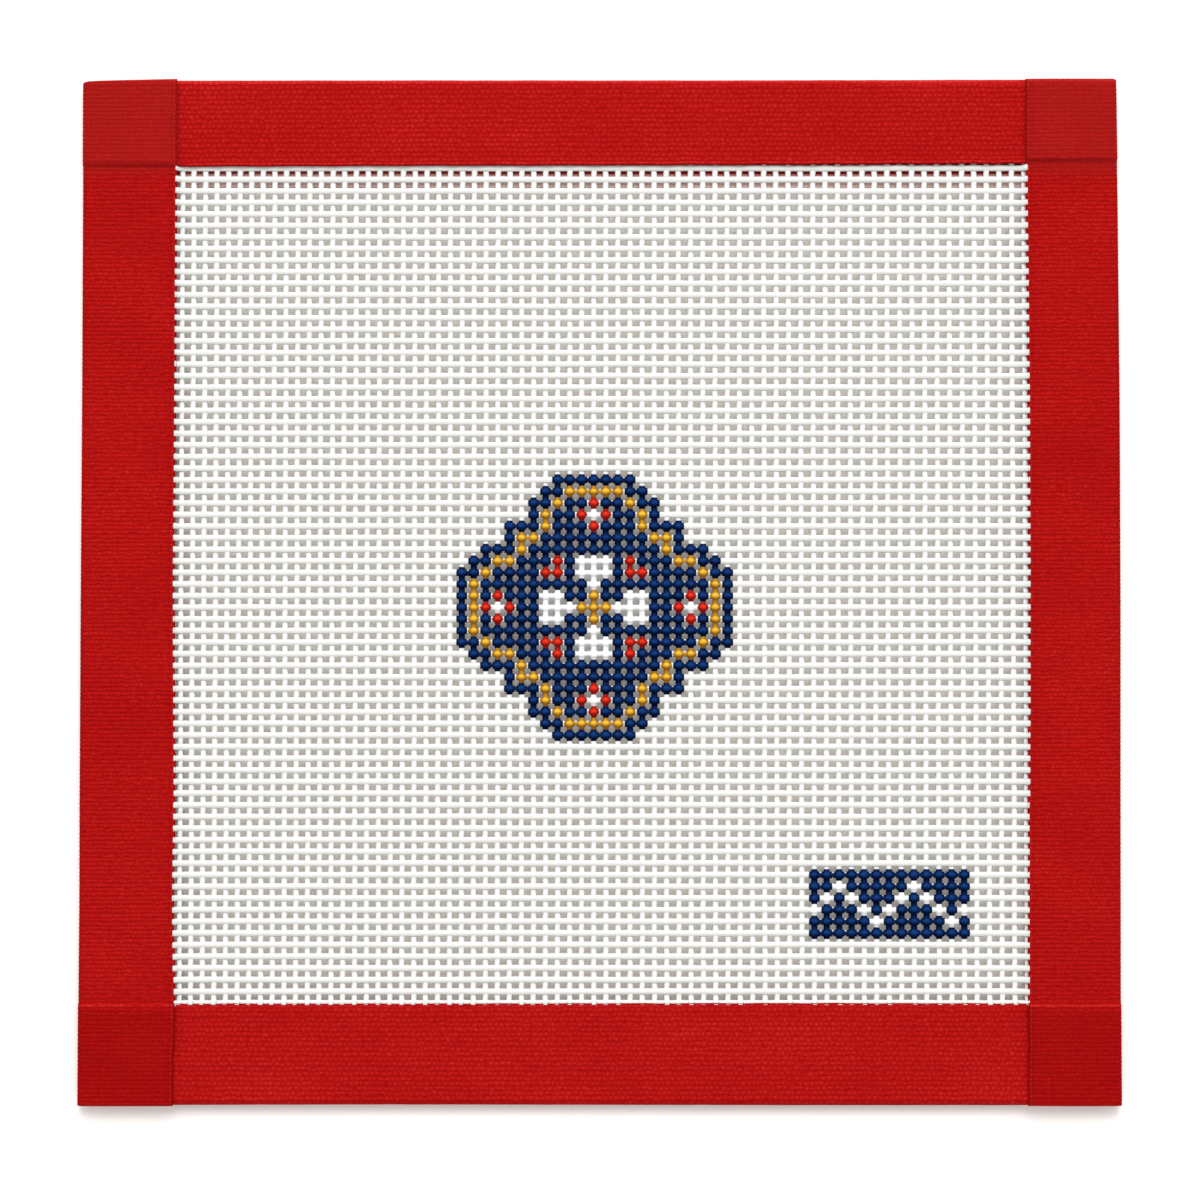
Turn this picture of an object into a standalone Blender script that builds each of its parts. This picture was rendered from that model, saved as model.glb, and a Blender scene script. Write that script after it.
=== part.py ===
# Needlepoint canvas panel: a square of mono canvas, its four raw edges bound in folded cotton tape.
# Metres, +Z up. The panel lies on its back with its front up, and the origin is under its middle.

import math

import bmesh
import bpy

MM = 0.001

# Driving sizes
PANEL_WIDTH = 171.6 * MM  # along X, at the widest place of the right side's slight bow
PANEL_HEIGHT = 169.2 * MM  # along Y
CANVAS_THICK = 1.0 * MM
TAPE_WIDTH = 32.0 * MM  # the flat cut, 1 1/4 in
TAPE_THICK = 0.5 * MM
LAYER_GAP = 0.3 * MM  # between cloths that lie on each other
FOLD_RADIUS = 0.75 * MM  # at the middle of the tape, where it turns over the edge
FOLD_STEPS = 4  # segments in each quarter turn
EDGE_CLEAR = 0.5 * MM  # from the inside of a fold to what it wraps
RAMP_LENGTH = 2.0 * MM  # in which a side tape comes down from the corner squares
RAMP_STEPS = 4
RAMP_CLEAR = 0.2 * MM  # from the cut edge underneath to the start of that ramp

# Heights of the layers, from the surface up: a side tape's back in the corner squares, every tape's back,
# the canvas, every tape's front, and a side tape's front in the corner squares
LAYER_STEP = TAPE_THICK + LAYER_GAP
CORNER_BACK = TAPE_THICK / 2
BACK = CORNER_BACK + LAYER_STEP
CANVAS_BOTTOM = BACK + TAPE_THICK / 2 + LAYER_GAP
FRONT = CANVAS_BOTTOM + CANVAS_THICK + LAYER_GAP + TAPE_THICK / 2
CORNER_FRONT = FRONT + LAYER_STEP

# Each tape seen from outside its own edge, left to right. share is the place along the tape, inset is how
# far the fold stays inside the panel's widest line, and lap is the width of the front flap.
COLUMNS = ("share", "inset", "lap")
BOTTOM_ROWS = (
    (0.00, 0.00 * MM, 16.6 * MM),
    (0.30, 0.10 * MM, 16.5 * MM),
    (0.70, 0.00 * MM, 16.7 * MM),
    (1.00, 0.00 * MM, 16.6 * MM),
)
RIGHT_ROWS = (
    (0.00, 0.36 * MM, 15.5 * MM),
    (0.10, 0.36 * MM, 15.3 * MM),
    (0.30, 0.22 * MM, 15.3 * MM),
    (0.49, 0.04 * MM, 15.2 * MM),
    (0.69, 0.00 * MM, 15.2 * MM),
    (0.88, 0.16 * MM, 15.3 * MM),
    (1.00, 0.36 * MM, 15.1 * MM),
)
TOP_ROWS = (
    (0.00, 0.00 * MM, 14.0 * MM),
    (0.40, 0.00 * MM, 14.2 * MM),
    (0.65, 0.00 * MM, 14.3 * MM),
    (0.85, 0.10 * MM, 14.4 * MM),
    (1.00, 0.20 * MM, 14.4 * MM),
)
LEFT_ROWS = (
    (0.00, 0.00 * MM, 15.5 * MM),
    (0.30, 0.05 * MM, 15.5 * MM),
    (0.50, 0.00 * MM, 15.5 * MM),
    (0.70, 0.00 * MM, 15.9 * MM),
    (0.80, 0.05 * MM, 15.6 * MM),
    (0.90, 0.00 * MM, 16.0 * MM),
    (1.00, 0.00 * MM, 15.7 * MM),
)


def clear_scene():
    for thing in list(bpy.data.objects):
        bpy.data.objects.remove(thing, do_unlink=True)


def make_material(name, colour, roughness):
    material = bpy.data.materials.new(name)
    material.use_nodes = True
    shader = material.node_tree.nodes["Principled BSDF"]
    shader.inputs["Base Color"].default_value = (*colour, 1)
    shader.inputs["Roughness"].default_value = roughness
    shader.inputs["Metallic"].default_value = 0
    return material


def add_object(name, bm, material):
    mesh = bpy.data.meshes.new(name)
    bm.to_mesh(mesh)
    bm.free()
    thing = bpy.data.objects.new(name, mesh)
    thing.data.materials.append(material)
    bpy.context.scene.collection.objects.link(thing)
    return thing


def read_rows(rows, share, column):
    """A column's value at a share of the tape's length, in a straight line between the rows."""
    at = COLUMNS.index(column)
    for low, high in zip(rows, rows[1:]):
        if share <= high[0]:
            blend = max(0, (share - low[0]) / (high[0] - low[0]))
            return low[at] + (high[at] - low[at]) * blend
    return rows[-1][at]


def most_inset(rows):
    return max(row[COLUMNS.index("inset")] for row in rows)


def back_lap(lap, low, high):
    """What is left of the tape's cut width behind the panel, once the front flap and the fold are made."""
    centre = TAPE_THICK / 2 + FOLD_RADIUS
    upright = high - low - 2 * FOLD_RADIUS
    around = (lap - centre) + math.pi * FOLD_RADIUS + upright
    return TAPE_WIDTH - around + centre


def fold_section(lap, low, high):
    """The middle of the folded tape as (inward, up) points, from its front cut edge to its back one."""
    centre = TAPE_THICK / 2 + FOLD_RADIUS
    behind = back_lap(lap, low, high)
    points = [(lap, high), ((lap + centre) / 2, high)]
    for height, start in ((high - FOLD_RADIUS, 90), (low + FOLD_RADIUS, 180)):
        for step in range(FOLD_STEPS + 1):
            turn = math.radians(start + 90 * step / FOLD_STEPS)
            points.append((centre + FOLD_RADIUS * math.cos(turn), height + FOLD_RADIUS * math.sin(turn)))
    points += [((behind + centre) / 2, low), (behind, low)]
    return points


def ramp_starts(under_rows, end_share):
    """How far from its own end a side tape stays raised, in front and behind, over the tape under it."""
    lap = read_rows(under_rows, end_share, "lap")
    inset = read_rows(under_rows, end_share, "inset")
    behind = back_lap(lap, BACK, FRONT)
    return inset + lap + RAMP_CLEAR, inset + behind + RAMP_CLEAR


def ramp_share(distance, start):
    """0 in the corner square and 1 past the ramp, easing in and out."""
    share = min(max((distance - start) / RAMP_LENGTH, 0), 1)
    return share * share * (3 - 2 * share)


def make_tape(name, length, rows, material, first_corner=None, last_corner=None):
    """A folded tape along X with its fold at Y = 0 and its flaps towards +Y.

    Each corner is None on a tape that runs underneath there, or the pair that ramp_starts gives."""
    corners = ((first_corner, 0), (last_corner, length))
    places = {row[0] * length for row in rows}
    for corner, end in corners:
        for start in corner or ():
            for step in range(RAMP_STEPS + 1):
                places.add(abs(end - start - RAMP_LENGTH * step / RAMP_STEPS))
    bm = bmesh.new()
    previous = None
    for place in sorted(places):
        share = place / length
        front, back = FRONT, BACK
        for corner, end in corners:
            if corner:
                distance = abs(place - end)
                front += (CORNER_FRONT - FRONT) * (1 - ramp_share(distance, corner[0]))
                back += (CORNER_BACK - BACK) * (1 - ramp_share(distance, corner[1]))
        inset = read_rows(rows, share, "inset")
        section = fold_section(read_rows(rows, share, "lap"), back, front)
        ring = [bm.verts.new((place - length / 2, inset + inward, up)) for inward, up in section]
        if previous:
            for a, b, c, d in zip(previous, previous[1:], ring[1:], ring):
                bm.faces.new((a, d, c, b))
        previous = ring
    bmesh.ops.recalc_face_normals(bm, faces=bm.faces)
    tape = add_object(name, bm, material)
    tape.data.shade_smooth()
    tape.data.set_sharp_from_angle(angle=math.radians(40))
    cloth = tape.modifiers.new("cloth", "SOLIDIFY")
    cloth.thickness = TAPE_THICK
    cloth.offset = 0
    cloth.use_even_offset = True
    return tape


def fold_room(rows):
    """From the panel's widest line to where something inside this fold has to end."""
    return most_inset(rows) + TAPE_THICK + EDGE_CLEAR


def make_canvas(material):
    left = -PANEL_WIDTH / 2 + fold_room(LEFT_ROWS)
    right = PANEL_WIDTH / 2 - fold_room(RIGHT_ROWS)
    bottom = -PANEL_HEIGHT / 2 + fold_room(BOTTOM_ROWS)
    top = PANEL_HEIGHT / 2 - fold_room(TOP_ROWS)
    bm = bmesh.new()
    corners = [bm.verts.new((x, y, CANVAS_BOTTOM)) for x, y in
               ((left, bottom), (right, bottom), (right, top), (left, top))]
    sheet = bm.faces.new(corners)
    raised = bmesh.ops.extrude_face_region(bm, geom=[sheet])
    upper = [thing for thing in raised["geom"] if isinstance(thing, bmesh.types.BMVert)]
    bmesh.ops.translate(bm, verts=upper, vec=(0, 0, CANVAS_THICK))
    bmesh.ops.recalc_face_normals(bm, faces=bm.faces)
    return add_object("canvas", bm, material)


def make_binding(material):
    """Four tapes: the top and bottom ones between the folds of the side ones, which cover their ends."""
    left_end = -PANEL_WIDTH / 2 + fold_room(LEFT_ROWS)
    right_end = PANEL_WIDTH / 2 - fold_room(RIGHT_ROWS)
    under_length = right_end - left_end
    under_middle = (left_end + right_end) / 2

    bottom = make_tape("binding_bottom", under_length, BOTTOM_ROWS, material)
    bottom.location = (under_middle, -PANEL_HEIGHT / 2, 0)

    top = make_tape("binding_top", under_length, TOP_ROWS, material)
    top.location = (under_middle, PANEL_HEIGHT / 2, 0)
    top.rotation_euler = (0, 0, math.pi)

    right = make_tape("binding_right", PANEL_HEIGHT, RIGHT_ROWS, material,
                      first_corner=ramp_starts(BOTTOM_ROWS, 1), last_corner=ramp_starts(TOP_ROWS, 0))
    right.location = (PANEL_WIDTH / 2, 0, 0)
    right.rotation_euler = (0, 0, math.pi / 2)

    left = make_tape("binding_left", PANEL_HEIGHT, LEFT_ROWS, material,
                     first_corner=ramp_starts(TOP_ROWS, 1), last_corner=ramp_starts(BOTTOM_ROWS, 0))
    left.location = (-PANEL_WIDTH / 2, 0, 0)
    left.rotation_euler = (0, 0, -math.pi / 2)
    return [bottom, top, right, left]


def build():
    clear_scene()
    canvas_white = make_material("canvas white", (0.87, 0.86, 0.83), 0.8)
    tape_red = make_material("tape red", (0.45, 0.010, 0.008), 0.85)
    panel = bpy.data.objects.new("panel", None)
    bpy.context.scene.collection.objects.link(panel)
    for piece in [make_canvas(canvas_white)] + make_binding(tape_red):
        piece.parent = panel


build()
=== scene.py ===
import math

import bmesh
import bpy
import numpy as np
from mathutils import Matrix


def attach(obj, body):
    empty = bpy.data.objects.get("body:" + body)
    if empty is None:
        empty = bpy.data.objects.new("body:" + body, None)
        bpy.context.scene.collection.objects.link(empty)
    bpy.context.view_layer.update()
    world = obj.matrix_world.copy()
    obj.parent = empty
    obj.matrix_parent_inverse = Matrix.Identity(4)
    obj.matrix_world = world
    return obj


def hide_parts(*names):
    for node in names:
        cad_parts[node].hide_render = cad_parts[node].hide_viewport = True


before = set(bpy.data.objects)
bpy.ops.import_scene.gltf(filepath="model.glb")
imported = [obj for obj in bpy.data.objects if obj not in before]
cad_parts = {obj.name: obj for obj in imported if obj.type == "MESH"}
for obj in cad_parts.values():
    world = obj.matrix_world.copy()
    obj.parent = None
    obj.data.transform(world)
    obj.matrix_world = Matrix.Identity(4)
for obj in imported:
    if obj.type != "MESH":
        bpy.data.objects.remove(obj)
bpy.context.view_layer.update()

mm = 0.001

# the panel, and the heights of its cloths above the surface (mm, at the middle of each cloth)
panel = {
    "width": 171.6,
    "height": 169.2,
    "tapeWidth": 32.0,
    "tapeThick": 0.5,
    "foldRadius": 0.75,
    "weaveHeight": 2.1,
    "front": 3.12,
    "back": 1.05,
    "cornerFront": 3.72,
    "cornerBack": 0.30,
    "leftEnd": -84.75,   # the top and bottom tapes run between these two
    "rightEnd": 84.44,
}
foldCentre = panel["tapeThick"] / 2 + panel["foldRadius"]    # from a fold's outer line to its turns' middle


class Signal:
    # wraps a socket, so that sums on it add Math nodes
    def __init__(self, finish, socket):
        self.finish = finish
        self.socket = socket

    def calc(self, operation, first, second=0.0):
        made = self.finish.node("ShaderNodeMath", {"operation": operation}, {0: first, 1: second})
        return Signal(self.finish, made.outputs[0])

    def __add__(self, other):
        return self.calc("ADD", self, other)

    def __radd__(self, other):
        return self.calc("ADD", other, self)

    def __sub__(self, other):
        return self.calc("SUBTRACT", self, other)

    def __rsub__(self, other):
        return self.calc("SUBTRACT", other, self)

    def __mul__(self, other):
        return self.calc("MULTIPLY", self, other)

    def __rmul__(self, other):
        return self.calc("MULTIPLY", other, self)

    def __truediv__(self, other):
        return self.calc("DIVIDE", self, other)

    def __rtruediv__(self, other):
        return self.calc("DIVIDE", other, self)

    def __pow__(self, other):
        return self.calc("POWER", self, other)

    def sine(self):
        return self.calc("SINE", self)

    def size(self):
        return self.calc("ABSOLUTE", self)

    def whole(self):
        return self.calc("FLOOR", self)

    def clipped(self):
        made = self.finish.node("ShaderNodeClamp", {}, {"Value": self})
        return Signal(self.finish, made.outputs[0])


class Finish:
    # one material, or the light all round, and its nodes
    def __init__(self, name, shader="Principled BSDF", store=None):
        self.material = (bpy.data.materials if store is None else store).new(name)
        self.material.use_nodes = True
        self.tree = self.material.node_tree
        self.shader = self.tree.nodes[shader]

    def node(self, kind, settings, sockets):
        made = self.tree.nodes.new(kind)
        for key, value in settings.items():
            if key == "stops":
                ramp = made.color_ramp
                while len(ramp.elements) < len(value):
                    ramp.elements.new(0.5)
                for element, (place, colour) in zip(ramp.elements, value):
                    element.position = place
                    element.color = (*colour, 1)
            else:
                setattr(made, key, value)
        for key, value in sockets.items():
            self.plug(made.inputs[key], value)
        return made

    def plug(self, socket, value):
        if isinstance(value, Signal):
            value = value.socket
        if isinstance(value, bpy.types.NodeSocket):
            self.tree.links.new(value, socket)
        elif isinstance(value, tuple) and len(value) == 3 and socket.type == "RGBA":
            socket.default_value = (*value, 1)
        else:
            socket.default_value = value

    def place(self):
        # the point on the piece, in metres
        return self.node("ShaderNodeTexCoord", {}, {}).outputs["Object"]

    def parts(self, vector):
        made = self.node("ShaderNodeSeparateXYZ", {}, {0: vector})
        return [Signal(self, socket) for socket in made.outputs]

    def vector(self, x, y, z):
        return self.node("ShaderNodeCombineXYZ", {}, {0: x, 1: y, 2: z}).outputs[0]

    def noise(self, vector, scale, detail=2.0, roughness=0.5):
        made = self.node("ShaderNodeTexNoise", {},
                         {"Vector": vector, "Scale": scale, "Detail": detail, "Roughness": roughness})
        return Signal(self, made.outputs["Fac"])

    def blend(self, share, first, second):
        # a mix of two colours
        made = self.node("ShaderNodeMix", {"data_type": "RGBA"}, {0: share, 6: first, 7: second})
        return made.outputs[2]

    def ramp(self, share, stops):
        return self.node("ShaderNodeValToRGB", {"stops": stops}, {0: share}).outputs[0]

    def bump(self, height, strength, distance):
        made = self.node("ShaderNodeBump", {},
                         {"Height": height, "Strength": strength, "Distance": distance})
        self.plug(self.shader.inputs["Normal"], made.outputs[0])

    def done(self, sockets):
        for name, value in sockets.items():
            self.plug(self.shader.inputs[name], value)
        return self.material


threadLook = {
    "top": (0.735, 0.735, 0.73),
    # the threads' sides and the depths of the weave take painted shade
    "side": (0.735, 0.73, 0.71),
    "deepShade": (0.64, 0.48, 0.27),
    "under": (0.636, 0.634, 0.598),    # the shaded lower side of a weft
    "shadeFrom": -0.25,   # where that side starts, in shares of a row, and over how much it deepens
    "shadeOver": 0.35,
    "warpShade": 0.85,    # how much of it falls on the warps, and where it ends there
    "warpShadeEnd": 0.30,
    "redBounce": (0.60, 0.04, 0.04),     # painted red light thrown back from the tape
    "bounceTop": 70.4,     # mm, where the painted red light starts beside the top and the bottom tape
    "bounceBottom": -68.0,
    "bounceReach": 5.0,
    "roughness": 0.62,
    "twist": 0.42,        # mm from one turn of the ply to the next
}


def belowMiddle(y):
    # how far below the middle of its weft a point lies, as a share of the row's height
    cloth = canvasCloth
    row = (cloth["weftStart"] * mm - y) / (cloth["weftPitch"] * mm)
    share = (row - 0.5) / cloth["bowWefts"]
    row = row + share * (1 - share) * (4 * cloth["weftBow"] / cloth["weftPitch"]) + 0.5
    return row - row.whole() - 0.5


def threadFinish(name, alongX):
    # starched white cotton: a plied twist and fine fibres, with painted shade that makes it darker and
    # warmer down in the weave
    look = threadLook
    finish = Finish(name)
    where = finish.place()
    x, y, z = finish.parts(where)
    along, across = (x, y) if alongX else (y, x)
    drawn = finish.vector(along * 900.0, across * 4200.0, z * 4200.0)
    fibre = finish.noise(drawn, 1.0, 3.0, 0.6)
    patch = finish.noise(where, 60.0, 2.0)
    height = (z - 0.0016) / 0.001     # 0 at the back of the weave, 1 at the front
    tint = (height + (patch - 0.5) * 0.10 + (fibre - 0.5) * 0.08).clipped()
    # painted shade: darker and warmer on the sides and deep in the weave, white on the crowns front and
    # back
    colour = finish.ramp(tint, [(0.03, look["top"]), (0.12, look["deepShade"]), (0.27, look["deepShade"]),
                                (0.37, look["side"]), (0.55, look["top"])])
    # the lower side of each weft is shaded, and the warps where they cross it
    below = belowMiddle(y)
    shaded = ((below - look["shadeFrom"]) / look["shadeOver"]).clipped()
    if not alongX:
        shaded = shaded * ((look["warpShadeEnd"] - below) / 0.07).clipped() * look["warpShade"]
    colour = finish.blend(shaded, colour, look["under"])
    # painted red light: the tape's red thrown back onto the low sides of the threads beside it
    nearTop = (1 - (look["bounceTop"] * mm - y) / (look["bounceReach"] * mm)).clipped()
    nearBottom = (1 - (y - look["bounceBottom"] * mm) / (look["bounceReach"] * mm)).clipped()
    lowDown = 1 - ((height - 0.26) / 0.12).clipped()
    colour = finish.blend((nearTop + nearBottom) * lowDown * 0.7, colour, look["redBounce"])
    turn = 2 * math.pi / (look["twist"] * mm)
    twist = ((along + across * 1.1 + z * 1.1) * turn).sine() * 0.5 + 0.5
    finish.bump(twist * 0.55 + fibre * 0.75, 0.35, 0.00006)
    return finish.done({"Base Color": colour, "Roughness": look["roughness"] + (fibre - 0.5) * 0.2,
                        "Specular IOR Level": 0.25})


tapeLook = {
    "troughShade": (0.235, 0.0008, 0.0008),
    "cloth": (0.355, 0.0040, 0.0034),
    "crestHighlight": (0.500, 0.0250, 0.0235),
    "faced": (0.330, 0.022, 0.018),       # the upper corner squares, facing the light
    "paintedFlapLight": (0.860, 0.640, 0.590),   # the end of the back flap, painted pale: painted light where it lies in shade
    "roughness": 0.86,
    "ribSide": 0.70,      # mm from rib to rib on the side tapes
    "ribLong": 0.80,      # and on the top and bottom ones
    "floatSide": 0.80,    # mm from float to float along a rib
    "floatLong": 0.92,
    "floatsSide": 0.40,   # how much the floats break up a rib
    "floatsLong": 0.70,
    "topFold": 83.7,      # mm from the panel's middle to where the top and the side folds turn
    "sideFold": 85.0,
    "edgeShade": 0.25,     # mm, the painted shade line at the front cut edge
    "edgeHighlight": 0.45,  # mm from there to the painted highlight line beside it
    "square": 14.5,       # mm from a side tape's end to where its corner square fades out
    "upright": 0.40,      # mm between the fine threads that show in the squares
    "stepHighlight": -68.25,   # mm, the painted highlight on the rib at the head of the lower squares' step
    "flapLightFrom": 30.4,  # mm across the tape
}


def tapeFinish(name, ribsAcross):
    # red cotton: plain-weave ribs, each with short uneven floats, read from the cloth's own flat map, with
    # painted highlights on the crests and painted shade in the troughs
    look = tapeLook
    finish = Finish(name)
    flat = finish.node("ShaderNodeUVMap", {"uv_map": "cloth"}, {}).outputs[0]
    length, width = finish.parts(flat)[:2]     # along and across the tape, in 100 mm
    pitch = (look["ribSide"] if ribsAcross else look["ribLong"]) / 100
    across, along = (length, width) if ribsAcross else (width, length)
    floatLength = (look["floatSide"] if ribsAcross else look["floatLong"]) / 100
    wander = finish.noise(finish.vector(along * 60.0, across * 90.0, 0.0), 1.0, 2.0) - 0.5
    rib = across / pitch + wander * 1.1
    row = rib.whole()
    crown = (rib * (2 * math.pi)).sine() * 0.5 + 0.5
    slip = finish.noise(finish.vector(row * 7.3, along * 40.0, 0.0), 1.0, 2.0)
    step = along / floatLength + row * 0.5 + slip * 1.6
    pick = (step * (2 * math.pi)).sine() * 0.5 + 0.5
    uneven = finish.noise(finish.vector(along * 110.0, across * 150.0, 3.0), 1.0, 3.0, 0.7)
    broad = finish.noise(finish.vector(along * 5.0, across * 9.0, 7.0), 1.0, 2.0)
    fuzz = finish.noise(finish.vector(along * 420.0, across * 520.0, 0.0), 1.0, 3.0, 0.75)
    floats = look["floatsSide"] if ribsAcross else look["floatsLong"]
    raised = crown * (1 - floats) + crown * pick * floats
    tone = raised * 0.42 + (uneven - 0.5) * 0.8 + (broad - 0.5) * 0.30 + (fuzz - 0.5) * 0.6 + 0.20
    # the top edge's fold catches the light, and the sides' folds less than the flaps
    x, y, z = finish.parts(finish.place())
    topFold = ((y - look["topFold"] * mm) / 0.0005).clipped()
    sideFold = ((x.size() - look["sideFold"] * mm) / 0.0004).clipped()
    tone = tone + topFold * 0.35 - sideFold * 0.15
    # a painted shade line at the front cut edge, and a painted highlight line beside it
    cut = (width / (look["edgeShade"] / 100)).clipped()
    edgeHighlight = 1 - ((width - look["edgeHighlight"] / 100).size() / 0.0022).clipped()
    tone = tone - (1 - cut) * 0.9 + edgeHighlight * 0.30
    if ribsAcross:
        # in the corner squares the cloth is pulled flat, so its fine crossways threads show
        half = panel["height"] / 200
        fromEnd = half - (length - half).size()
        corner = 1 - ((fromEnd - look["square"] / 100) / 0.02).clipped()
        upright = (width * (200 * math.pi / look["upright"]) + (slip - 0.5) * 3.0).sine() * 0.5
        tone = tone + corner * (upright * 0.34 - 0.14) - 0.10
        # painted shade makes the lower squares darker, and a painted highlight lies on the rib at the head
        # of their step
        lower = (y / -0.04).clipped()
        stepHighlight = 1 - ((y - look["stepHighlight"] * mm).size() / 0.00016).clipped()
        tone = tone - corner * lower * 0.07 + stepHighlight * 0.45
    # painted shade in the ribs' troughs and painted highlights on their crests
    colour = finish.ramp(tone.clipped(), [(0.0, look["troughShade"]), (0.45, look["cloth"]),
                                          (1.0, look["crestHighlight"])])
    if ribsAcross:
        colour = finish.blend(corner * (y / 0.04).clipped() * 0.18, colour, look["faced"])
    # painted light: the back flap's end, in shade under the canvas, is painted pale
    paintedFlapLight = ((width - look["flapLightFrom"] / 100) / 0.010).clipped()
    colour = finish.blend(paintedFlapLight * 0.92, colour, look["paintedFlapLight"])
    finish.bump(raised * 0.7 + fuzz * 0.5 + uneven * 0.4, 0.42, 0.00010)
    return finish.done({"Base Color": colour, "Roughness": look["roughness"] + (fuzz - 0.5) * 0.12,
                        "Specular IOR Level": 0.05})


# each paint's colour in its creases, as painted shade, and its full colour, as painted highlight on the
# beads' tops
paintLook = {
    "navy": {"slot": "paint_navy", "gloss": 0.01,
             "deepShade": (0.0001, 0.0010, 0.012), "full": (0.0060, 0.0320, 0.140)},
    "gold": {"slot": "paint_gold", "gloss": 0.08,
             "deepShade": (0.230, 0.080, 0.001), "full": (0.700, 0.400, 0.026)},
    "red": {"slot": "paint_red", "gloss": 0.05,
            "deepShade": (0.170, 0.001, 0.001), "full": (0.620, 0.022, 0.007)},
    "white": {"slot": "paint_white", "gloss": 0.20,
              "deepShade": (0.72, 0.72, 0.72), "full": (0.86, 0.86, 0.86)},
}


# heights where the paint's painted highlight comes, and the painted shade on its lower side
paintShadeHeights = {
    "arm": 2.15,          # mm above the surface where the full colour starts on the arms
    "armOver": 0.30,      # and the height over which it comes
    "armShare": 0.45,
    "bead": 2.44,         # and on the beads
    "beadOver": 0.20,
    "beadShare": 0.55,
    "lowerDark": 0.75,    # how much darker the painted shade makes the lower side of a row
}


def paintFinish(word):
    # satin acrylic, with painted highlights on the beads' tops and painted shade in the creases and on the
    # lower side of each row
    look, depth = paintLook[word], paintShadeHeights
    finish = Finish("paint " + word)
    where = finish.place()
    x, y, z = finish.parts(where)
    onArm = ((z - depth["arm"] * mm) / (depth["armOver"] * mm)).clipped()
    onBead = ((z - depth["bead"] * mm) / (depth["beadOver"] * mm)).clipped()
    height = onArm * depth["armShare"] + onBead * depth["beadShare"]
    cloud = finish.noise(where, 420.0, 2.0)
    lump = finish.noise(where, 1500.0, 2.0)
    # painted shade on the lower side of each row
    lower = ((belowMiddle(y) + 0.06) / 0.26).clipped()
    tone = (height * (1 - lower * depth["lowerDark"]) + (cloud - 0.5) * 0.35 + 0.03).clipped() ** 1.3
    finish.bump(lump, 0.3, 0.00008)
    return finish.done({"Base Color": finish.blend(tone, look["deepShade"], look["full"]),
                        "Roughness": 0.26 + (cloud - 0.5) * 0.14, "Specular IOR Level": look["gloss"]})


floorLook = {
    "dark": (0.935, 0.917, 0.888),
    "light": (0.945, 0.927, 0.898),
}


def floorFinish():
    finish = Finish("pale floor")
    grain = finish.noise(finish.place(), 40.0, 2.0)
    return finish.done({"Base Color": finish.blend(grain, floorLook["dark"], floorLook["light"]),
                        "Roughness": 0.9, "Specular IOR Level": 0.1})


def deselect():
    if bpy.context.object and bpy.context.object.mode != "OBJECT":
        bpy.ops.object.mode_set(mode="OBJECT")
    bpy.ops.object.select_all(action="DESELECT")


def meshPiece(name, points, faces, material):
    mesh = bpy.data.meshes.new(name)
    mesh.from_pydata(points.tolist(), [], faces)
    mesh.materials.append(material)
    mesh.shade_smooth()
    piece = bpy.data.objects.new(name, mesh)
    bpy.context.scene.collection.objects.link(piece)
    return piece


def drift(places, seed, length, size):
    # a smooth wander along a line, the same on every run
    total = np.zeros_like(places, dtype=float)
    for step, share in enumerate((0.6, 0.3, 0.25)):
        phase = math.sin(seed * 12.9898 + step * 78.233) * 43758.5453 % (2 * math.pi)
        total = total + share * np.sin(2 * math.pi * places / (length / (1 + 0.83 * step)) + phase)
    return total * size


def triangles(piece):
    return sum(len(face.vertices) - 2 for face in piece.data.polygons)


# the painted crossings, counted from the left and the top; the motifs' places are (farther, nearer)
# steps from the medallion's middle
chart = {
    "centreColumn": 35,
    "centreRow": 38,
    "reach": 11,
    "outline": (7, {8: 5, 9: 5, 10: 4, 11: 3}),     # half of the square, and each lobe's half width
    "goldLine": (6, {7: 4, 8: 4, 9: 3, 10: 2}),
    "gold": ((0, 0), (1, 0)),
    "white": ((2, 0), (3, 0), (4, 0), (3, 1), (4, 1), (8, 0)),
    "red": ((3, 3), (4, 3), (7, 0), (9, 0), (8, 1)),
    "bandColumn": 53,
    "bandRow": 61,
    "bandColumns": 13,
    "bandRows": 6,
    "zigzag": 6,      # columns from one peak to the next
}


def insideShape(a, b, square, lobes):
    # a square with a stepped lobe on each side
    a, b = max(a, b), min(a, b)
    return a <= square or b <= lobes.get(a, -1)


def medallionColour(column, row):
    a, b = abs(column), abs(row)
    if not insideShape(a, b, *chart["outline"]):
        return None
    if insideShape(a, b, *chart["goldLine"]):
        for da, db in ((1, 0), (0, 1), (-1, 0), (0, -1)):
            if not insideShape(abs(a + da), abs(b + db), *chart["goldLine"]):
                return "gold"
    for word in ("gold", "white", "red"):
        if (max(a, b), min(a, b)) in chart[word]:
            return word
    return "navy"


def bandColour(column, row):
    # a white zigzag on navy
    wave = abs((column + 1) % chart["zigzag"] - chart["zigzag"] // 2)
    return "white" if row == 1 + wave else "navy"


def drawChart():
    painted = {}
    steps = range(-chart["reach"], chart["reach"] + 1)
    for column in steps:
        for row in steps:
            colour = medallionColour(column, row)
            if colour:
                painted[(chart["centreColumn"] + column, chart["centreRow"] + row)] = colour
    for column in range(chart["bandColumns"]):
        for row in range(chart["bandRows"]):
            painted[(chart["bandColumn"] + column, chart["bandRow"] + row)] = bandColour(column, row)
    return painted


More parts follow.
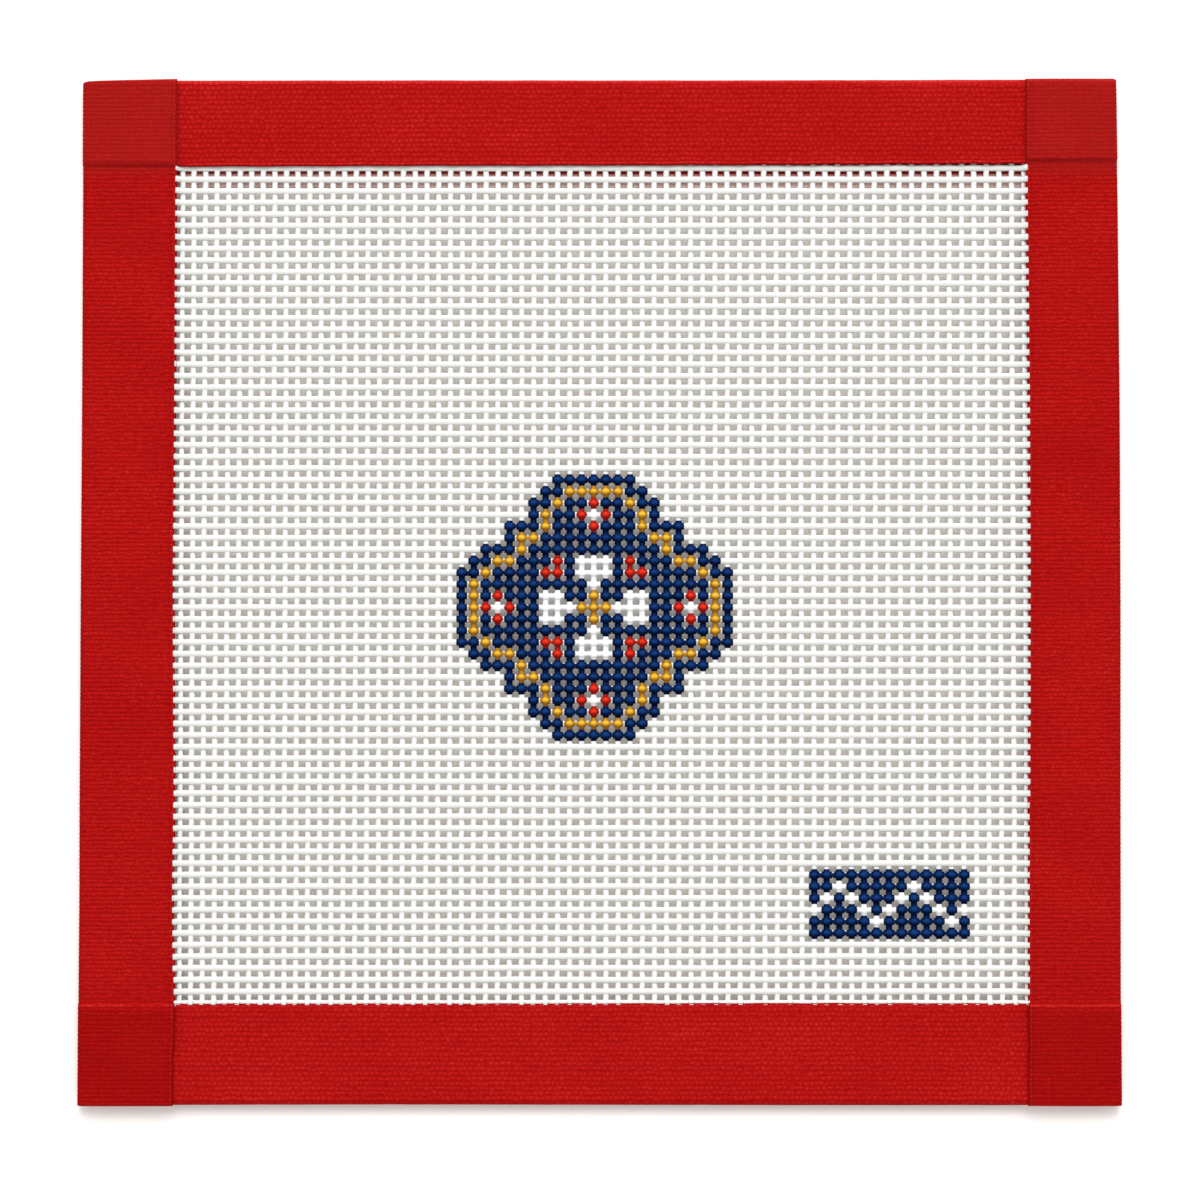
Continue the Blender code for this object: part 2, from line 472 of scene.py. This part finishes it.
canvasCloth = {
    "firstWarp": -2,      # warps are counted from the left, wefts from the top
    "lastWarp": 72,
    "splitWarp": 35,      # the first of the second piece
    "firstWeft": -1,
    "lastWeft": 75,
    "splitWeft": 37,
    "warpStart": -68.38,  # mm, and from thread to thread
    "warpPitch": 1.9917,
    "warpBow": -1.49,     # the columns crowd together on the left
    "bowWarps": 68,       # how many threads the bow spans
    "weftStart": 70.00,
    "weftPitch": 1.9161,
    "weftBow": -0.08,
    "bowWefts": 71,
    "weftWide": 1.09,
    "warpWide": 0.97,
    "thick": 0.52,
    "crimp": 0.07,
    "weftLift": 0.09,     # the wefts lie a little prouder than the warps
    "paintedLift": 0.45,
    "lean": 0.045,        # how far a warp steps aside at each crossing
    "paintedWide": 0.58,  # painted threads are drawn in, and lie flatter
    "paintedWideSmall": 0.45,
    "paintedCrimp": 0.7,
    "paintedThick": 0.80,
    "peekY": -68.12,      # where the warps lap over the bottom tape's sunk cut edge
    "peekUp": (0.72, 0.76),    # how high above the weave's middle, on even and odd warps
    "stubUp": (0.50, 0.98),    # the same where each weft laps over the side tapes' cut edges,
    "stubOut": (-0.22, 0.16),  # just inside the edge and just past it
    "openBottom": -68.4,  # between the bottom and the top tape
    "openTop": 70.6,
    "hiddenX": 83.9,      # the cut edge inside the folds
    "hiddenY": 82.9,
    "areaShare": 1.25,    # a thread's surface from one side, against its plain width
}


def warpX(column):
    share = (column - 0.5) / canvasCloth["bowWarps"]
    return (canvasCloth["warpStart"] + canvasCloth["warpPitch"] * (column - 0.5)
            + canvasCloth["warpBow"] * 4 * share * (1 - share))


def weftY(row):
    share = (row - 0.5) / canvasCloth["bowWefts"]
    return (canvasCloth["weftStart"] - canvasCloth["weftPitch"] * row
            + canvasCloth["weftBow"] * 4 * share * (1 - share))


def lapOver(number, runs, up):
    # both ends of a weft lap over the side tapes' cut edges
    cloth = canvasCloth
    for tape, side in (("bindingLeft", -1), ("bindingRight", 1)):
        share = 0.5 + side * weftY(number) / panel["height"]
        edge = panel["width"] / 2 - rowValue(tape, share, "inset") - rowValue(tape, share, "lap")
        at = int(np.argmin(np.abs(runs - side * (edge + cloth["stubOut"][1]))))
        for step in (0, 1):
            runs[at - side * step] = side * (edge + cloth["stubOut"][1 - step])
            up[at - side * step] = panel["weaveHeight"] + cloth["stubUp"][1 - step]


def threadTubes(name, numbers, alongX, painted, material):
    # flat oval threads, over and under at every crossing, and straight on to the hidden cut edge
    cloth = canvasCloth
    first, last = (cloth[end + ("Warp" if alongX else "Weft")] for end in ("first", "last"))
    stations = np.arange(first * 4, last * 4 + 1) / 4    # four from each crossing to the next
    lengthways = warpX(stations) if alongX else weftY(stations)
    wide = cloth["weftWide"] if alongX else cloth["warpWide"]
    hidden = cloth["hiddenX"] if alongX else cloth["hiddenY"]
    outward = np.sign(lengthways[-1])
    if not alongX:
        peek = int(np.argmin(np.abs(lengthways - cloth["peekY"])))
        lengthways[peek] = cloth["peekY"]
    corners = np.radians([0, 55, 125, 180, 235, 305])
    sectionAcross = np.cos(corners) * np.array([1, 1.12, 1.12, 1, 1.12, 1.12]) / 2
    sectionUp = np.sin(corners) * 1.06 / 2
    points, faces = [], []
    for number in numbers:
        over = np.cos(np.pi * (stations + number)) * (1 if alongX else -1)    # 1 where it lies on top
        if alongX:
            middle = weftY(number) + drift(lengthways, number, 47.0, 0.035)
        else:
            middle = warpX(number) + drift(lengthways, number + 500, 47.0, 0.035) + cloth["lean"] * over
        width = wide * (0.98 + 0.02 * over) * (1 + drift(lengthways, number + 90, 9.0, 0.025))
        coated = np.zeros_like(stations)
        for station in range(first, last + 1):
            word = painted.get((station, number) if alongX else (number, station))
            if word:
                beside = np.abs(stations - station) < 0.5
                coated[beside] = 1
                width[beside] *= cloth["paintedWide"] if word == "navy" else cloth["paintedWideSmall"]
        thick = cloth["thick"] * (1 - (1 - cloth["paintedThick"]) * coated)
        lift = cloth["weftLift"] * (1 if alongX else -1) * (1 - (1 - cloth["paintedLift"]) * coated)
        crimp = cloth["crimp"] * over * (1 - (1 - cloth["paintedCrimp"]) * coated)
        up = panel["weaveHeight"] + lift + crimp
        runs = lengthways.copy()
        if not alongX:
            up[peek] = panel["weaveHeight"] + cloth["peekUp"][number % 2]
        elif cloth["openBottom"] < weftY(number) < cloth["openTop"]:
            lapOver(number, runs, up)
        along = np.concatenate(([-outward * hidden], runs, [outward * hidden]))
        middle = np.concatenate((middle[:1], middle, middle[-1:]))
        width = np.concatenate((width[:1], width, width[-1:]))
        thick = np.concatenate((thick[:1], thick, thick[-1:]))
        up = np.concatenate(([panel["weaveHeight"]], up, [panel["weaveHeight"]]))
        side = middle[:, None] + width[:, None] * sectionAcross[None, :]
        rise = up[:, None] + thick[:, None] * sectionUp[None, :]
        run = np.repeat(along[:, None], 6, axis=1)
        ring = np.stack((run, side, rise) if alongX else (side, run, rise), axis=2).reshape(-1, 3)
        start = sum(len(block) for block in points)
        points.append(ring)
        count = len(along)
        for at in range(count - 1):
            a = start + at * 6
            for corner in range(6):
                after = (corner + 1) % 6
                faces.append((a + corner, a + after, a + 6 + after, a + 6 + corner))
        faces.append(tuple(start + corner for corner in range(5, -1, -1)))
        faces.append(tuple(start + (count - 1) * 6 + corner for corner in range(6)))
    piece = meshPiece(name, np.concatenate(points) * mm, faces, material)
    facesOut(piece)
    return piece


def facesOut(piece):
    bm = bmesh.new()
    bm.from_mesh(piece.data)
    bmesh.ops.recalc_face_normals(bm, faces=bm.faces)
    bm.to_mesh(piece.data)
    bm.free()


def makeCanvas(painted):
    cloth = canvasCloth
    weftLook = threadFinish("canvas weft", True)
    warpLook = threadFinish("canvas warp", False)
    for name, numbers, alongX, look in (
            ("canvasWeftUpper", range(cloth["firstWeft"], cloth["splitWeft"]), True, weftLook),
            ("canvasWeftLower", range(cloth["splitWeft"], cloth["lastWeft"] + 1), True, weftLook),
            ("canvasWarpLeft", range(cloth["firstWarp"], cloth["splitWarp"]), False, warpLook),
            ("canvasWarpRight", range(cloth["splitWarp"], cloth["lastWarp"] + 1), False, warpLook)):
        piece = threadTubes(name, numbers, alongX, painted, look)
        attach(piece, "root")
        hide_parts("canvas")
        wide = cloth["weftWide"] if alongX else cloth["warpWide"]
        length = 2 * (cloth["hiddenX"] if alongX else cloth["hiddenY"])
        area = len(numbers) * length * wide * cloth["areaShare"]
        acrossPanel = len(numbers) * (cloth["weftPitch"] if alongX else cloth["warpPitch"])
        acrossPanel * mm
        length * mm
        area * mm * mm
        print("canvas:", name, len(numbers), "threads,", triangles(piece), "triangles")


paintCoat = {
    "full": {                            # navy
        "bead": (1.62, 1.62, 1.30),      # mm across, down and through, at a crossing
        "weftArm": (1.14, 0.78),         # width and thickness of the coat on a thread beside it
        "warpArm": (1.20, 0.70),
        "weftLink": (0.62, 1.07, 0.90),  # the little bead where two arms of one colour meet
        "warpLink": (1.15, 0.62, 0.80),
    },
    "thin": {                            # the other colours
        "bead": (1.58, 1.54, 1.28),
        "weftArm": (0.94, 0.74),
        "warpArm": (1.06, 0.70),
        "weftLink": (0.56, 0.94, 0.88),
        "warpLink": (1.08, 0.60, 0.80),
        "tip": (0.50, 0.72, 0.78),       # the rounded end of an arm along a weft
    },
    "armLength": 1.70,    # in half pitches, before its ends are drawn in
    "armEnd": 0.14,       # how far an end is drawn out, and how much narrower it gets
    "armTaper": 0.80,
    "tipPlace": 0.84,
    "sag": 0.03,          # mm that a bead hangs towards the bottom
}


def modelBead(size, around=8, rings=4):
    # a flattened bead of paint
    deselect()
    bpy.ops.mesh.primitive_uv_sphere_add(segments=around, ring_count=rings, radius=0.5, location=(0, 0, 0))
    shape = bpy.context.object
    bpy.ops.object.mode_set(mode="EDIT")
    bpy.ops.mesh.select_all(action="SELECT")
    bpy.ops.transform.resize(value=size)
    bpy.ops.object.mode_set(mode="OBJECT")
    return takeShape(shape)


def modelArm(alongX, reach, wide, thick):
    # a bar of paint round one thread, its two ends drawn in
    deselect()
    turn = (0, math.pi / 2, 0) if alongX else (math.pi / 2, 0, 0)
    bpy.ops.mesh.primitive_cylinder_add(vertices=6, radius=0.5, depth=reach * paintCoat["armLength"],
                                        rotation=turn)
    shape = bpy.context.object
    bpy.ops.object.transform_apply(rotation=True)
    bpy.ops.object.mode_set(mode="EDIT")
    bpy.ops.mesh.select_all(action="SELECT")
    bpy.ops.transform.resize(value=(1, wide, thick) if alongX else (wide, 1, thick))
    for side in (-1, 1):
        bpy.ops.mesh.select_all(action="DESELECT")
        bm = bmesh.from_edit_mesh(shape.data)
        for face in bm.faces:
            face.select = (face.normal.x if alongX else face.normal.y) * side > 0.9
        bmesh.update_edit_mesh(shape.data)
        step = side * reach * paintCoat["armEnd"]
        bpy.ops.mesh.extrude_region_move(
            TRANSFORM_OT_translate={"value": (step, 0, 0) if alongX else (0, step, 0)})
        taper = paintCoat["armTaper"]
        bpy.ops.transform.resize(value=(1, taper, taper) if alongX else (taper, 1, taper))
    bpy.ops.object.mode_set(mode="OBJECT")
    return takeShape(shape)


def takeShape(shape):
    # the modelled shape as points and faces, to copy to every crossing
    points = np.array([vertex.co[:] for vertex in shape.data.vertices])
    faces = [tuple(face.vertices) for face in shape.data.polygons]
    bpy.data.objects.remove(shape, do_unlink=True)
    return points, faces


def modelCoat(coat):
    # the shapes that lie on and beside every painted crossing
    shapes = {
        "bead": modelBead(coat["bead"], 10, 6),
        "weftArm": modelArm(True, canvasCloth["warpPitch"] / 2, *coat["weftArm"]),
        "warpArm": modelArm(False, canvasCloth["weftPitch"] / 2, *coat["warpArm"]),
    }
    for part in ("weftLink", "warpLink", "tip"):
        if part in coat:
            shapes[part] = modelBead(coat[part])
    return shapes


def makePaint(painted):
    shapes = {coat: modelCoat(paintCoat[coat]) for coat in ("full", "thin")}
    tipX = canvasCloth["warpPitch"] / 2 * paintCoat["tipPlace"]
    z = panel["weaveHeight"]
    blocks = {word: ([], []) for word in paintLook}

    def lay(word, shape, x, y, swell=1.0):
        points, faces = blocks[word]
        start = sum(len(block) for block in points)
        points.append(shape[0] * swell + np.array([x, y, z]))
        faces.extend(tuple(start + corner for corner in face) for face in shape[1])

    for (column, row), word in painted.items():
        x, y = warpX(column), weftY(row)
        swell = 1 + drift(np.array(float(column)), row, 3.1, 0.05)
        coat = shapes["full" if word == "navy" else "thin"]
        lay(word, coat["bead"], x, y - paintCoat["sag"], swell)
        lay(word, coat["weftArm"], x, y)
        lay(word, coat["warpArm"], x, y)
        if "tip" in coat:
            lay(word, coat["tip"], x - tipX, y)
            lay(word, coat["tip"], x + tipX, y)
        if painted.get((column + 1, row)) == word:
            lay(word, coat["weftLink"], (x + warpX(column + 1)) / 2, y)
        if painted.get((column, row + 1)) == word:
            lay(word, coat["warpLink"], x, (y + weftY(row + 1)) / 2)
    for word, (points, faces) in blocks.items():
        name = "paint" + word.capitalize()
        piece = meshPiece(name, np.concatenate(points) * mm, faces, paintFinish(word))
        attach(piece, "root")
        print("paint:", name, triangles(piece), "triangles")


# each tape seen from outside its own edge, left to right: share of its length, how far its fold stays
# inside the panel's widest line, and the width of its front flap (mm)
tapes = {
    "bindingBottom": {
        "node": "binding_bottom",
        "rows": [(0.0, 0.0, 16.6), (0.3, 0.10, 16.5), (0.7, 0.0, 16.7), (1.0, 0.0, 16.6)],
    },
    "bindingRight": {
        "node": "binding_right",
        "rows": [(0.0, 0.36, 15.5), (0.10, 0.36, 15.3), (0.30, 0.22, 15.3), (0.49, 0.04, 15.2),
                 (0.69, 0.0, 15.2), (0.88, 0.16, 15.3), (1.0, 0.36, 15.1)],
        "over": ("bindingBottom", 1.0, "bindingTop", 0.0),
    },
    "bindingTop": {
        "node": "binding_top",
        "rows": [(0.0, -0.12, 13.5), (0.072, -0.12, 13.5), (0.085, -0.12, 14.1), (0.40, 0.0, 14.2),
                 (0.65, 0.0, 14.3), (0.85, 0.04, 14.4), (0.915, 0.07, 14.4), (0.928, 0.07, 13.8),
                 (1.0, 0.07, 13.8)],
    },
    "bindingLeft": {
        "node": "binding_left",
        "rows": [(0.0, 0.0, 15.7), (0.30, 0.05, 15.6), (0.50, 0.0, 15.5), (0.70, 0.0, 15.9),
                 (0.80, 0.05, 15.6), (0.90, 0.0, 16.0), (1.0, 0.0, 15.7)],
        "over": ("bindingTop", 1.0, "bindingBottom", 0.0),
    },
}

tapeShape = {
    "endTrim": {"bindingLeft": 0.42},      # how much shorter the outer side of its first end is (mm)
    "fray": {"bindingTop": 0.9},           # loose threads that reach past the cut back edge
    "ribDepth": 0.060,     # mm from trough to crest
    "ramp": 0.75,          # mm in which a side tape comes down beside the tape under it
    # how far before that tape's cut edge it starts, at its first and its last end
    "rampEarly": {"bindingLeft": (0.65, 0.45), "bindingRight": (0.45, 0.95)},
    "rampLate": 0.1,       # and behind, how far after it
    "edgeSink": {"bindingBottom": 0.38, "bindingTop": 0.27, "bindingLeft": 0.20, "bindingRight": 0.20},
    "cornerSink": 0.16,    # and in the corner squares, where it presses on the tape under it
    "edgeThin": 0.55,      # share of the thickness left at a cut edge
    "sideCells": (7, 3, 1, 3, 5),          # cells in the front, each turn, the upright and the back
    "longPlaces": 71,      # sections along a top or bottom tape
}


def rowValue(name, share, column):
    rows = tapes[name]["rows"]
    at = ("share", "inset", "lap").index(column)
    return np.interp(share, [row[0] for row in rows], [row[at] for row in rows])


def foldLengths(lap, low, high, width=panel["tapeWidth"]):
    # the flat front, a quarter turn, the upright and the flat back, measured along the cloth
    radius, centre = panel["foldRadius"], foldCentre
    front = lap - centre
    quarter = np.full_like(front, math.pi * radius / 2)
    upright = high - low - 2 * radius
    back = width - front - 2 * quarter - upright
    return front, quarter, upright, back


def rampDown(distance, start):
    share = np.clip((distance - start) / tapeShape["ramp"], 0, 1)
    return 1 - share * share * (3 - 2 * share)


def tapeHeights(name, places, length):
    # the heights of the back and the front of the fold at each place along the tape
    low = np.full_like(places, panel["back"])
    high = np.full_like(places, panel["front"])
    if "over" in tapes[name]:
        first, firstShare, last, lastShare = tapes[name]["over"]
        ends = ((first, firstShare, places), (last, lastShare, length - places))
        for (under, share, distance), early in zip(ends, tapeShape["rampEarly"][name]):
            inset = rowValue(under, share, "inset")
            lap = rowValue(under, 0.9 if share else 0.1, "lap")    # clear of that tape's tucked end
            behind = foldLengths(np.array([lap]), panel["back"], panel["front"])[3][0] + foldCentre
            late = tapeShape["rampLate"]
            high = high + (panel["cornerFront"] - panel["front"]) * rampDown(distance, inset + lap - early)
            low = low + (panel["cornerBack"] - panel["back"]) * rampDown(distance, inset + behind + late)
    return low, high


def asColumn(values):
    # one value for each place along a tape, to match the rows of points across it
    return values[:, None]


def divideAcross(stops, width, ribsAcross):
    # where the cloth is divided across: by the fold's own parts, or four cells to each rib
    if not ribsAcross:
        count = int(round(width / tapeLook["ribLong"] * 4))
        return np.repeat(np.linspace(0, width, count + 1)[None, :], len(stops), axis=0)
    cells = [stops[:, :1]]
    for at, count in enumerate(tapeShape["sideCells"]):
        share = np.arange(1, count + 1) / count
        begin, end = stops[:, at:at + 1], stops[:, at + 1:at + 2]
        cells.append(begin + (end - begin) * share[None, :])
    return np.concatenate(cells, axis=1)


def foldCloth(name, turn, length, width):
    # the middle of the folded cloth, a row of points across it at each place along it (mm):
    # how far along, how far across when flat, how far inside the panel's widest line, how high
    ribsAcross = "over" in tapes[name]
    pitch = tapeLook["ribSide"] if ribsAcross else tapeLook["ribLong"]
    count = int(round(length / pitch * 4)) + 1 if ribsAcross else tapeShape["longPlaces"]
    places = np.linspace(0, length, count)
    low, high = tapeHeights(name, places, length)
    lap = rowValue(name, places / length, "lap") + drift(places, len(name), 11.0, 0.06)
    front, quarter, upright, back = foldLengths(lap, low, high, width)
    radius, centre = panel["foldRadius"], foldCentre
    stops = np.stack((np.zeros_like(front), front, front + quarter, front + quarter + upright,
                      front + 2 * quarter + upright, front + 2 * quarter + upright + back), axis=1)
    across = divideAcross(stops, width, ribsAcross)
    firstTurn = np.clip(across - asColumn(stops[:, 1]), 0, asColumn(quarter)) / radius
    secondTurn = np.clip(across - asColumn(stops[:, 3]), 0, asColumn(quarter)) / radius
    down = np.clip(across - asColumn(stops[:, 2]), 0, asColumn(upright))
    flatFront = np.clip(asColumn(stops[:, 1]) - across, 0, None)
    flatBack = np.clip(across - asColumn(stops[:, 4]), 0, None)
    angle = math.pi / 2 + firstTurn + secondTurn
    inward = centre + flatFront + flatBack + radius * np.cos(angle)
    inward = np.where(flatFront > 0, centre + flatFront, inward)
    upFront = asColumn(high) - radius + radius * np.sin(math.pi / 2 + firstTurn) - down
    up = np.where(across <= asColumn(stops[:, 3]), upFront, asColumn(low) + radius + radius * np.sin(angle))
    normalIn, normalUp = np.cos(angle), np.sin(angle)

    # the flap settles onto the canvas towards its cut edge, and lies a little uneven
    settle = flatFront / asColumn(front)
    onCanvas = 1 - (high - panel["front"]) / (panel["cornerFront"] - panel["front"])
    up = up - tapeShape["edgeSink"][name] * settle ** 1.5 * asColumn(onCanvas)
    up = up - tapeShape["cornerSink"] * settle ** 12 * asColumn(1 - onCanvas)
    uneven = asColumn(drift(places, turn + 3, 23.0, 0.035)) + drift(across, turn + 9, 9.0, 0.02)
    up = up + uneven * np.minimum(1, flatFront / 3)

    # the ribs
    run = asColumn(places) + 0 * across
    if ribsAcross:
        phase = run / pitch + drift(across, turn + 21, 19.0, 0.12) + drift(run, turn + 5, 31.0, 0.12)
    else:
        phase = across / pitch + drift(run, turn + 21, 19.0, 0.16) + drift(run, turn + 5, 5.0, 0.06)
    relief = np.sin(2 * math.pi * phase) * tapeShape["ribDepth"] / 2
    inward = inward + normalIn * relief
    up = up + normalUp * relief
    inward = inward + asColumn(rowValue(name, places / length, "inset"))

    trim = tapeShape["endTrim"].get(name, 0)
    if trim:
        outer = np.clip(1 - inward / 15.5, 0, 1) + 0.6 * np.clip(1 - inward / 1.2, 0, 1)
        run = run + trim * outer * np.clip(1 - run / 8, 0, 1) ** 2
    return run, across, inward, up


def makeTape(name, turn, length, middleX, material):
    width = panel["tapeWidth"] + tapeShape["fray"].get(name, 0)
    run, across, inward, up = foldCloth(name, turn, length, width)
    localX = run - length / 2
    cosTurn, sinTurn = round(math.cos(turn)), round(math.sin(turn))
    startX, startY = {0: (middleX, -panel["height"] / 2), 180: (middleX, panel["height"] / 2),
                      90: (panel["width"] / 2, 0), -90: (-panel["width"] / 2, 0)}[round(math.degrees(turn))]
    x = startX + cosTurn * localX - sinTurn * inward
    y = startY + sinTurn * localX + cosTurn * inward
    points = np.stack((x, y, up), axis=2).reshape(-1, 3) * mm
    rows, columns = across.shape
    faces = []
    for at in range(rows - 1):
        for step in range(columns - 1):
            a = at * columns + step
            faces.append((a, a + columns, a + columns + 1, a + 1))
    piece = meshPiece(name, points, faces, material)
    cloth = piece.data.uv_layers.new(name="cloth")
    corner = np.array([vertex for face in faces for vertex in face])
    flat = np.stack((run.reshape(-1), across.reshape(-1)), axis=1) / 100
    cloth.data.foreach_set("uv", flat[corner].reshape(-1).astype(np.float32))
    edge = piece.vertex_groups.new(name="edge")
    thin = tapeShape["edgeThin"]
    onEdge = [at * columns + step for at in range(rows) for step in (0, columns - 1)]
    onEdge += [at * columns + step for at in (0, rows - 1) for step in range(1, columns - 1)]
    edge.add(list(range(rows * columns)), 1.0, "REPLACE")
    edge.add(onEdge, thin, "REPLACE")
    facesOut(piece)
    deselect()
    bpy.context.view_layer.objects.active = piece
    piece.select_set(True)
    wall = piece.modifiers.new("cloth", "SOLIDIFY")
    wall.thickness = panel["tapeThick"] * mm
    wall.offset = 0
    wall.vertex_group = "edge"
    bpy.ops.object.modifier_apply(modifier="cloth")
    piece.vertex_groups.clear()
    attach(piece, "root")
    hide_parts(tapes[name]["node"])
    print("tape:", name, triangles(piece), "triangles")


def makeBinding():
    sideLook = tapeFinish("tape ribs across", True)
    longLook = tapeFinish("tape ribs along", False)
    underLength = panel["rightEnd"] - panel["leftEnd"]
    underMiddle = (panel["rightEnd"] + panel["leftEnd"]) / 2
    makeTape("bindingBottom", 0.0, underLength, underMiddle, longLook)
    makeTape("bindingTop", math.pi, underLength, underMiddle, longLook)
    makeTape("bindingRight", math.pi / 2, panel["height"], 0.0, sideLook)
    makeTape("bindingLeft", -math.pi / 2, panel["height"], 0.0, sideLook)


studio = {
    "floorSize": 6.0,
    "cameraDistance": 0.57,
    "cameraTilt": 2.141,         # degrees towards the bottom edge
    "lens": 103.58,
    "aim": (-0.12, -1.65, 2.0),  # mm, what the middle of the picture shows
    "keyPlace": (0.03, 0.72, 1.22),
    "keySize": 0.80,
    "keyPower": 10.5,
    "skyLow": 1.05,              # the light all round, near the floor and overhead
    "skyHigh": 1.00,
    "skyLean": 0.45,             # how much more of it comes from the top edge's side
}


def makeStage():
    deselect()
    bpy.ops.mesh.primitive_plane_add(size=studio["floorSize"], location=(0, 0, 0))
    floor = bpy.context.object
    floor.name = "floor"
    floor.data.materials.append(floorFinish())


def makeLight():
    deselect()
    bpy.ops.object.light_add(type="AREA", location=studio["keyPlace"])
    key = bpy.context.object
    key.name = "key"
    key.data.shape = "DISK"
    key.data.size = studio["keySize"]
    key.data.energy = studio["keyPower"]
    towards = -key.location
    key.rotation_euler = towards.to_track_quat("-Z", "Y").to_euler()
    sky = Finish("studio", "Background", bpy.data.worlds)
    way = sky.node("ShaderNodeTexCoord", {}, {}).outputs["Generated"]
    x, y, z = sky.parts(way)
    low = (1 - z.size()) ** 1.3
    strength = studio["skyHigh"] + (studio["skyLow"] - studio["skyHigh"]) * low
    strength = strength * (1 + y * studio["skyLean"])
    bpy.context.scene.world = sky.done({"Color": (1.0, 1.0, 1.0), "Strength": strength})
    bpy.context.scene.view_settings.view_transform = "Standard"


def makeCamera():
    tilt = math.radians(studio["cameraTilt"])
    aimX, aimY, aimZ = (value * mm for value in studio["aim"])
    reach = studio["cameraDistance"]
    deselect()
    place = (aimX, aimY - reach * math.sin(tilt), aimZ + reach * math.cos(tilt))
    bpy.ops.object.camera_add(location=place, rotation=(tilt, 0, 0))
    camera = bpy.context.object
    camera.name = "camera"
    camera.data.lens = studio["lens"]
    camera.data.sensor_width = 36
    camera.data.clip_start = 0.01
    camera.data.dof.use_dof = False
    bpy.context.scene.camera = camera
    print("studio: floor, light and camera")


painted = drawChart()
makeCanvas(painted)
makePaint(painted)
makeBinding()
makeStage()
makeLight()
makeCamera()
